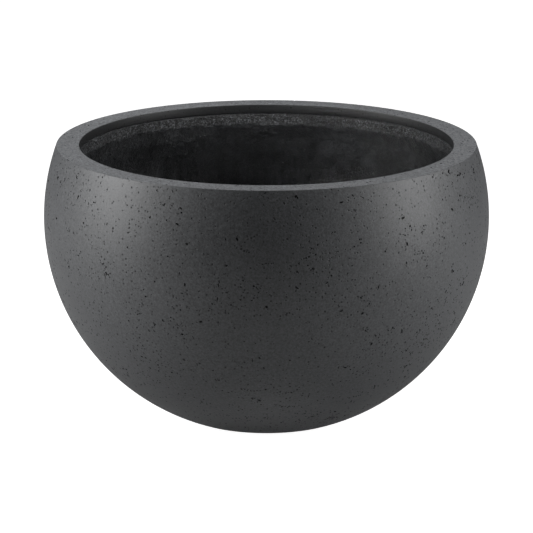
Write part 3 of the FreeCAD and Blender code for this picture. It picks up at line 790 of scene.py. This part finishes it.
def handLaidTree(material):
    # lumps, runs of resin, wrinkles and beads, each pushed along the surface's own direction
    tree, given, out = pieceTree("Hand-laid surface", lining["handLaid"])
    position = tree.nodes.new("GeometryNodeInputPosition").outputs[0]
    normal = tree.nodes.new("GeometryNodeInputNormal").outputs[0]
    where = vectorSums(tree, "ADD", position, joined(tree, X=given["Seed"], Y=0.37, Z=0.11))

    def squeezed(z):
        return vectorSums(tree, "MULTIPLY", where, (1.0, 1.0, z))

    rippling = noise(tree, where, given["Ripple Scale"], 3.0)
    ripple = product(tree, ranged(tree, rippling, 0.3, 0.7, -1.0, 1.0), given["Ripple Height"])
    running = noise(tree, squeezed(0.12), given["Run Scale"], 2.0)
    runs = product(tree, ranged(tree, running, 0.35, 0.65, -0.6, 1.0), given["Run Height"])
    # wrinkles are thin ridges along the middle level of a twisted noise, only in some patches
    twisted = noise(tree, squeezed(1.5), given["Wrinkle Scale"], 2.0, 0.5, 1.2)
    ridge = ranged(tree, sums(tree, "ABSOLUTE", sums(tree, "SUBTRACT", twisted, 0.5)), 0.035, 0.0)
    patches = ranged(tree, noise(tree, where, 7.0, 2.0), 0.50, 0.62, smooth=True)
    wrinkle = product(tree, ridge, patches, given["Wrinkle Height"])
    beads = noise(tree, where, given["Bead Scale"], 2.0, 0.6)
    lumps = noise(tree, where, product(tree, given["Bead Scale"], 0.25), 2.0)
    bead = product(tree, sums(tree, "ADD", ranged(tree, beads, 0.3, 0.7, -0.9, 0.5),
                   ranged(tree, lumps, 0.3, 0.7, -0.5, 0.3)), given["Bead Height"])
    height = sums(tree, "ADD", sums(tree, "ADD", ripple, runs), wrinkle)
    height = sums(tree, "ADD", product(tree, height, carried(tree, "laid")),
                  product(tree, bead, carried(tree, "banded")))
    height = sums(tree, "MINIMUM", sums(tree, "MAXIMUM", height, lining["deepestHollow"]),
                  lining["highestLump"])
    moved = pushed(tree, given["Geometry"], scaled(tree, normal, height))
    closeTree(tree, moved, material, out, 60.0)
    return tree


liningPiece = turnedMesh("lining", liningRows(), lining["turnSteps"])
bake(liningPiece, handLaidTree(laminateMaterial("laminate", lining["strandShare"])), lining["handLaid"])
print("lining:", len(liningPiece.data.polygons), "faces")

# the extra disc of mat round the drain

patch = {
    "turnSteps": 300,
    "rowStep": 2.5 * mm,
    "edgeInset": 0.3 * mm,
    "edgeThickness": 0.8 * mm,
    "strandShare": 1.0,
    "fray": {
        "Fray Depth": 3.0 * mm,  # how far the cut edge of the mat wanders
        "Fray Scale": 120.0,
        "Lump Height": 0.5 * mm,
        "Lump Scale": 90.0,
    },
}


def patchRows():
    topZ, floorZ, bushR, patchR = bowl["patchZ"], bowl["floorZ"], bowl["drainR"], bowl["patchR"]
    flangeR = high("drain_bush").x
    outer = patchR - patch["edgeInset"]
    under = lineRows((bushR, floorZ), (patchR - 8 * mm, floorZ), 20 * mm)
    edge = [(outer - 5 * mm, floorZ), (outer, floorZ + near), (outer, floorZ + patch["edgeThickness"])]
    slope = [(outer - 2.5 * mm, topZ - 1.0 * mm), (outer - 5 * mm, topZ - 0.4 * mm)]
    top = lineRows((outer - 8 * mm, topZ - 0.2 * mm), (flangeR + 1 * mm, topZ), patch["rowStep"])
    seat = [(flangeR, topZ), (bushR, topZ)]
    return (weighted(under) + weighted(edge, frayed=1.0) + weighted(slope, frayed=0.7, lumpy=0.7)
            + weighted(top, lumpy=1.0) + weighted(seat))


def patchTree(material):
    # pulls the edge in here and there, and raises lumps on the top
    tree, given, out = pieceTree("Frayed mat", patch["fray"])
    where = tree.nodes.new("GeometryNodeInputPosition").outputs[0]
    normal = tree.nodes.new("GeometryNodeInputNormal").outputs[0]
    flat = vectorSums(tree, "MULTIPLY", where, (1.0, 1.0, 0.0))
    cutLine = noise(tree, flat, given["Fray Scale"], 4.0, 0.7)
    reach = product(tree, ranged(tree, cutLine, 0.35, 0.65, -1.0, 0.0), given["Fray Depth"],
                    carried(tree, "frayed"))
    lumps = noise(tree, where, given["Lump Scale"], 3.0)
    lift = product(tree, ranged(tree, lumps, 0.3, 0.7, -1.0, 0.6), given["Lump Height"],
                   carried(tree, "lumpy"))
    offset = vectorSums(tree, "ADD", scaled(tree, vectorSums(tree, "NORMALIZE", flat), reach),
                        scaled(tree, normal, lift))
    closeTree(tree, pushed(tree, given["Geometry"], offset), material, out, 50.0)
    return tree


patchPiece = turnedMesh("floorPatch", patchRows(), patch["turnSteps"])
bake(patchPiece, patchTree(laminateMaterial("laminate_patch", patch["strandShare"])), patch["fray"])
print("floor patch:", len(patchPiece.data.polygons), "faces")

# the small moulded pieces and the hidden filler

mouldedLook = {
    # colour, how far it varies, roughness, its spread, speck share, bump strength
    "bush_plastic": (0.030, 0.10, 0.42, 0.06, 0.03, 0.12),
    "plug_rubber": (0.016, 0.22, 0.62, 0.10, 0.10, 0.20),
    "foot_rubber": (0.020, 0.25, 0.75, 0.10, 0.15, 0.30),
    "rim_filler": (0.210, 0.30, 0.85, 0.08, 0.45, 0.60),
}
mouldedGrain = {
    "specular": 0.5,
    "patchScale": 90.0,
    "grainScale": 1600.0,
    "grainShare": 0.45,
    "speckScale": 900.0,
    "speckSize": 0.22,
    "speckStrength": 0.5,
    "bumpDistance": 0.15 * mm,
}


def mouldedMaterial(name):
    # plastic, rubber or filler: faint clouding, fine grain and pale dust specks
    colour, spread, roughness, roughSpread, speckShare, strength = mouldedLook[name]
    grain = mouldedGrain
    material, tree, shader, coords = newMaterial(name, grain["specular"])
    mottle = useGroup(tree, mottleNodes, {"Vector": coords, "Patch Scale": grain["patchScale"],
                      "Grain Scale": grain["grainScale"], "Grain Share": grain["grainShare"]})
    specks = useGroup(tree, speckNodes, {"Vector": coords, "Scale": grain["speckScale"],
                      "Size": grain["speckSize"], "Share": speckShare})
    base = scaled(tree, grey(colour)[:3], ranged(tree, mottle, 0.3, 0.7, 1 - spread, 1 + spread))
    dust = grey(colour * 3 + 0.01)
    base = blendColours(tree, product(tree, specks, grain["speckStrength"]), base, dust)
    rough = ranged(tree, mottle, 0.3, 0.7, roughness - roughSpread, roughness + roughSpread)
    finishShader(tree, shader, base, rough, mottle, strength, grain["bumpDistance"])
    return material


plug = {
    "turnSteps": 96,
    "endRound": 0.8 * mm,
    "underRound": 0.5 * mm,
    "headRound": 1.1 * mm,
    "ringR": 15.5 * mm,  # moulded ring on top of the head
    "ringHalf": 1.0 * mm,
    "ringHeight": 0.5 * mm,
    "ribSteps": 16,
    "tabSteps": 48,
    "tabRound": 1.3 * mm,
    "tabSink": 2.0 * mm,
}


def plugSizes():
    # the plug's own radii and heights, from its CAD node
    verts = np.array([v.co for v in frame["nodes"]["drain_plug"].data.vertices])
    r, z = sectionPoints("drain_plug")
    seat = high("drain_bush").z
    below = r[z < seat - near]
    headZ = float(z[np.abs(r - r.max()) < near].max()) + 1.0 * mm
    tab = verts[verts[:, 2] > headZ + 0.1 * mm]
    tabHalf, tabTopZ = float(tab[:, 0].max()), float(tab[:, 2].max())
    ribs = sorted(set(np.round(z[np.abs(r - below.max()) < 0.02 * mm] / mm, 3)))
    return {"endZ": float(z.min()), "seatZ": seat, "headZ": headZ, "headR": float(r.max()),
            "stemR": float(below[below > 10 * mm].min()), "ribR": float(below.max()),
            "ribWidth": (ribs[1] - ribs[0]) * mm, "ribPitch": (ribs[2] - ribs[0]) * mm,
            "ribCount": len(ribs) // 2, "tabHalf": tabHalf, "tabThick": float(tab[:, 1].max() * 2),
            "tabTopZ": tabTopZ, "holeR": float(np.hypot(tab[:, 0], tab[:, 2] - tabTopZ + tabHalf).min())}


def plugRows(own):
    stemR, headR, endZ, seatZ, headZ = (own[k] for k in ("stemR", "headR", "endZ", "seatZ", "headZ"))
    ringR, half, rise = plug["ringR"], plug["ringHalf"], plug["ringHeight"]
    rows = [(0.0, endZ)]
    rows += softCorner((0.0, endZ), (stemR, endZ), (stemR, seatZ), plug["endRound"], 3)
    rows += [(stemR, seatZ)]
    rows += softCorner((stemR, seatZ), (headR, seatZ), (headR, headZ), plug["underRound"], 3)
    rows += softCorner((headR, seatZ), (headR, headZ), (0.0, headZ), plug["headRound"], 5)
    rows += [(ringR + half, headZ), (ringR + half / 2, headZ + 0.8 * rise), (ringR, headZ + rise),
             (ringR - half / 2, headZ + 0.8 * rise), (ringR - half, headZ), (0.0, headZ)]
    return weighted(rows)


def tabOutline(a, half, drop):
    # a round top; the lower half turns its corners early and runs straight down to the foot
    x, z = half * math.cos(a), half * math.sin(a)
    if z < 0:
        corner = 0.70
        x = math.copysign(half, x) if abs(math.cos(a)) > corner else half * math.cos(a) / 0.71
        z = -drop * min(1.0, abs(math.sin(a)) / corner)
    return x, z


def tabMesh(own):
    # an upright tab with a round top and a hole, its edges bevelled
    half, centreZ = own["tabHalf"], own["tabTopZ"] - own["tabHalf"]
    drop = centreZ - own["headZ"] + plug["tabSink"]
    steps = plug["tabSteps"]
    turns = [2 * math.pi * i / steps for i in range(steps)]
    outer = [tabOutline(a, half, drop) for a in turns]
    inner = [(own["holeR"] * math.cos(a), own["holeR"] * math.sin(a)) for a in turns]
    work = bmesh.new()
    sides = []
    for y in (-own["tabThick"] / 2, own["tabThick"] / 2):
        sides.append([[work.verts.new((x, y, centreZ + z)) for x, z in line] for line in (outer, inner)])
    (frontOut, frontIn), (backOut, backIn) = sides
    for i in range(steps):
        j = (i + 1) % steps
        work.faces.new((frontOut[i], frontOut[j], frontIn[j], frontIn[i]))
        work.faces.new((backOut[j], backOut[i], backIn[i], backIn[j]))
        work.faces.new((frontOut[j], frontOut[i], backOut[i], backOut[j]))
        work.faces.new((frontIn[i], frontIn[j], backIn[j], backIn[i]))
    bmesh.ops.recalc_face_normals(work, faces=work.faces)
    flat, sharp = 1e-6, 1.0
    rims = [e for e in work.edges if abs(e.verts[0].co.y - e.verts[1].co.y) < flat
            and e.calc_face_angle(0) > sharp]
    bmesh.ops.bevel(work, geom=rims, offset=plug["tabRound"], segments=4, profile=0.5, affect="EDGES")
    mesh = bpy.data.meshes.new("tab")
    work.to_mesh(mesh)
    work.free()
    return mesh


def plugTree(sizes, material, tabPiece):
    # joins the turned body, its rounded sealing ribs and the tab into one skin
    tree, given, out = pieceTree("Ribbed plug", sizes)
    half = product(tree, given["Rib Width"], 0.5)
    path = place(tree, "GeometryNodeCurvePrimitiveCircle", {"Resolution": plug["turnSteps"],
                 "Radius": sums(tree, "SUBTRACT", given["Rib Radius"], half)})
    outline = place(tree, "GeometryNodeCurvePrimitiveCircle", {"Resolution": plug["ribSteps"],
                    "Radius": half})
    ring = place(tree, "GeometryNodeCurveToMesh", {"Curve": path.outputs[0],
                 "Profile Curve": outline.outputs[0]})
    spots = place(tree, "GeometryNodeMeshLine", {"Count": given["Rib Count"], "Start Location":
                  joined(tree, Z=given["First Rib"]), "Offset": joined(tree, Z=given["Rib Pitch"])})
    ribs = place(tree, "GeometryNodeInstanceOnPoints", {"Points": spots.outputs[0],
                 "Instance": ring.outputs[0]})
    tab = place(tree, "GeometryNodeObjectInfo", {"Object": tabPiece})
    parts = tree.nodes.new("GeometryNodeJoinGeometry")
    for part in (given["Geometry"], ribs.outputs[0], tab.outputs["Geometry"]):
        tree.links.new(part, parts.inputs[0])
    skin = place(tree, "GeometryNodeMeshBoolean", {}, operation="UNION", solver="EXACT")
    tree.links.new(parts.outputs[0], skin.inputs["Mesh 2"])
    skin.inputs["Self Intersection"].default_value = True
    closeTree(tree, skin.outputs[0], material, out, 40.0)
    return tree


def makePlug():
    own = plugSizes()
    print("plug sizes:", {k: round(v, 5) for k, v in own.items()})
    sizes = {"Rib Count": own["ribCount"], "First Rib": own["endZ"] + own["ribWidth"] / 2,
             "Rib Pitch": own["ribPitch"], "Rib Width": own["ribWidth"], "Rib Radius": own["ribR"]}
    piece = turnedMesh("drainPlug", plugRows(own), plug["turnSteps"])
    tabPiece = addObject("tab", tabMesh(own))
    bake(piece, plugTree(sizes, mouldedMaterial("plug_rubber"), tabPiece), sizes)
    bpy.data.objects.remove(tabPiece)
    return piece


plugPiece = makePlug()
print("plug:", len(plugPiece.data.polygons), "faces")

feet = sorted(n for n in frame["nodes"] if n.startswith("rubber_foot"))
finishes = {"drain_bush": "bush_plastic", "rim_core": "rim_filler"} | {n: "foot_rubber" for n in feet}
made = {name: mouldedMaterial(name) for name in sorted(set(finishes.values()))}
for node, name in finishes.items():
    for slot in frame["nodes"][node].material_slots:
        slot.material = made[name]
print("moulded pieces finished:", sorted(finishes))

# what each piece stands for and rides on

for piece, node, body, slotName in ((facingPiece, "facing_shell", "bowl", "cement_facing"),
                                    (liningPiece, "glassfibre_lining", "bowl", "laminate"),
                                    (patchPiece, "floor_patch", "bowl", "laminate_patch"),
                                    (plugPiece, "drain_plug", "plug", "plug_rubber")):
    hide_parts(node)
    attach(piece, body)

# floor, light and camera

studio = {
    "floorSize": 40.0,
    "floorColour": 0.47,
    "floorRoughness": 0.7,
    "floorSpecular": 0.2,
    "floorGlow": 0.97,  # lifts the lit floor to white, so that only a faint shadow is left
    "worldShown": 1.0,
    "worldLight": 0.01,
    "aim": (0.0, 0.0, 0.22),
}

# azimuth is measured from the front, positive to the right
lamps = {
    "leftUpper": {"azimuth": -86, "height": 1.3, "distance": 1.8, "size": (0.8, 0.9), "power": 27.0},
    "leftLower": {"azimuth": -80, "height": 0.55, "distance": 1.8, "size": (0.9, 0.9), "power": 17.0},
    "rightUpper": {"azimuth": 86, "height": 1.3, "distance": 1.8, "size": (0.8, 0.9), "power": 20.0},
    "rightLower": {"azimuth": 74, "height": 0.55, "distance": 1.8, "size": (0.8, 0.9), "power": 14.0},
    "topBack": {"azimuth": 180, "height": 2.4, "distance": 0.1, "size": (2.0, 1.2), "power": 16.5},
    # a narrow beam through the mouth onto the far inner wall
    "insideBeam": {"azimuth": -38, "height": 0.697, "distance": 0.95, "size": (0.54, 0.07), "power": 0.085,
                   "spread": 8.0, "aim": (0.0, 0.27, 0.33)},
    # a soft light from below, which shows the base
    "underBase": {"azimuth": 0, "height": -0.6, "distance": 0.0, "size": (0.34, 0.34), "power": 0.075,
                  "spread": 20.0, "aim": (0.0, 0.0, 0.0), "shape": "DISK"},
}

# a long lens, tilted down by this many degrees
view = {"distance": 6.0, "height": 1.6982, "tilt": 13.964, "lens": 308.68, "sensor": 36.0}


def addLamp(name, own):
    lamp = bpy.data.lights.new(name, "AREA")
    lamp.shape = own.get("shape", "RECTANGLE")
    lamp.size, lamp.size_y = own["size"]
    lamp.energy = own["power"]
    lamp.spread = math.radians(own.get("spread", 180.0))
    made = addObject(name, lamp)
    turn, away = math.radians(own["azimuth"]), own["distance"]
    made.location = (away * math.sin(turn), -away * math.cos(turn), own["height"])
    aim = Vector(own.get("aim", studio["aim"])) - made.location
    made.rotation_euler = aim.to_track_quat("-Z", "Y").to_euler()
    made.visible_camera = False


def addFloor():
    half = studio["floorSize"] / 2
    mesh = bpy.data.meshes.new("floor")
    mesh.from_pydata([(-half, -half, 0), (half, -half, 0), (half, half, 0), (-half, half, 0)], [],
                     [(0, 1, 2, 3)])
    floor = addObject("floor", mesh)
    material, tree, shader = newMaterial("floor", studio["floorSpecular"])[:3]
    shader.inputs["Base Color"].default_value = grey(studio["floorColour"])
    shader.inputs["Roughness"].default_value = studio["floorRoughness"]
    shader.inputs["Emission Strength"].default_value = 1.0
    shown = tree.nodes.new("ShaderNodeLightPath").outputs["Is Camera Ray"]
    glow = blendColours(tree, shown, grey(0.0), grey(studio["floorGlow"]))
    tree.links.new(glow, shader.inputs["Emission Color"])
    # clear from below, so that the underside of the object can be looked at
    under = tree.nodes.new("ShaderNodeNewGeometry").outputs["Backfacing"]
    tree.links.new(sums(tree, "SUBTRACT", 1.0, under), shader.inputs["Alpha"])
    mesh.materials.append(material)
    floor.visible_shadow = False


def addWorld():
    # white behind the object, and a faint even light on it
    world = bpy.data.worlds.new("studio")
    bpy.context.scene.world = world
    world.use_nodes = True
    tree = world.node_tree
    shown = tree.nodes.new("ShaderNodeLightPath").outputs["Is Camera Ray"]
    strength = blendValues(tree, shown, studio["worldLight"], studio["worldShown"])
    back = tree.nodes["Background"]
    back.inputs["Color"].default_value = grey(1.0)
    tree.links.new(strength, back.inputs["Strength"])


def addCamera():
    camera = addObject("camera", bpy.data.cameras.new("camera"))
    camera.location = (0.0, -view["distance"], view["height"])
    camera.rotation_euler = (math.radians(90 - view["tilt"]), 0.0, 0.0)
    camera.data.lens = view["lens"]
    camera.data.sensor_width = view["sensor"]
    camera.data.clip_end = 100.0
    bpy.context.scene.camera = camera


for name, own in lamps.items():
    addLamp(name, own)
addFloor()
addWorld()
addCamera()
bpy.context.scene.view_settings.view_transform = "Standard"
print("floor, light and camera ready")
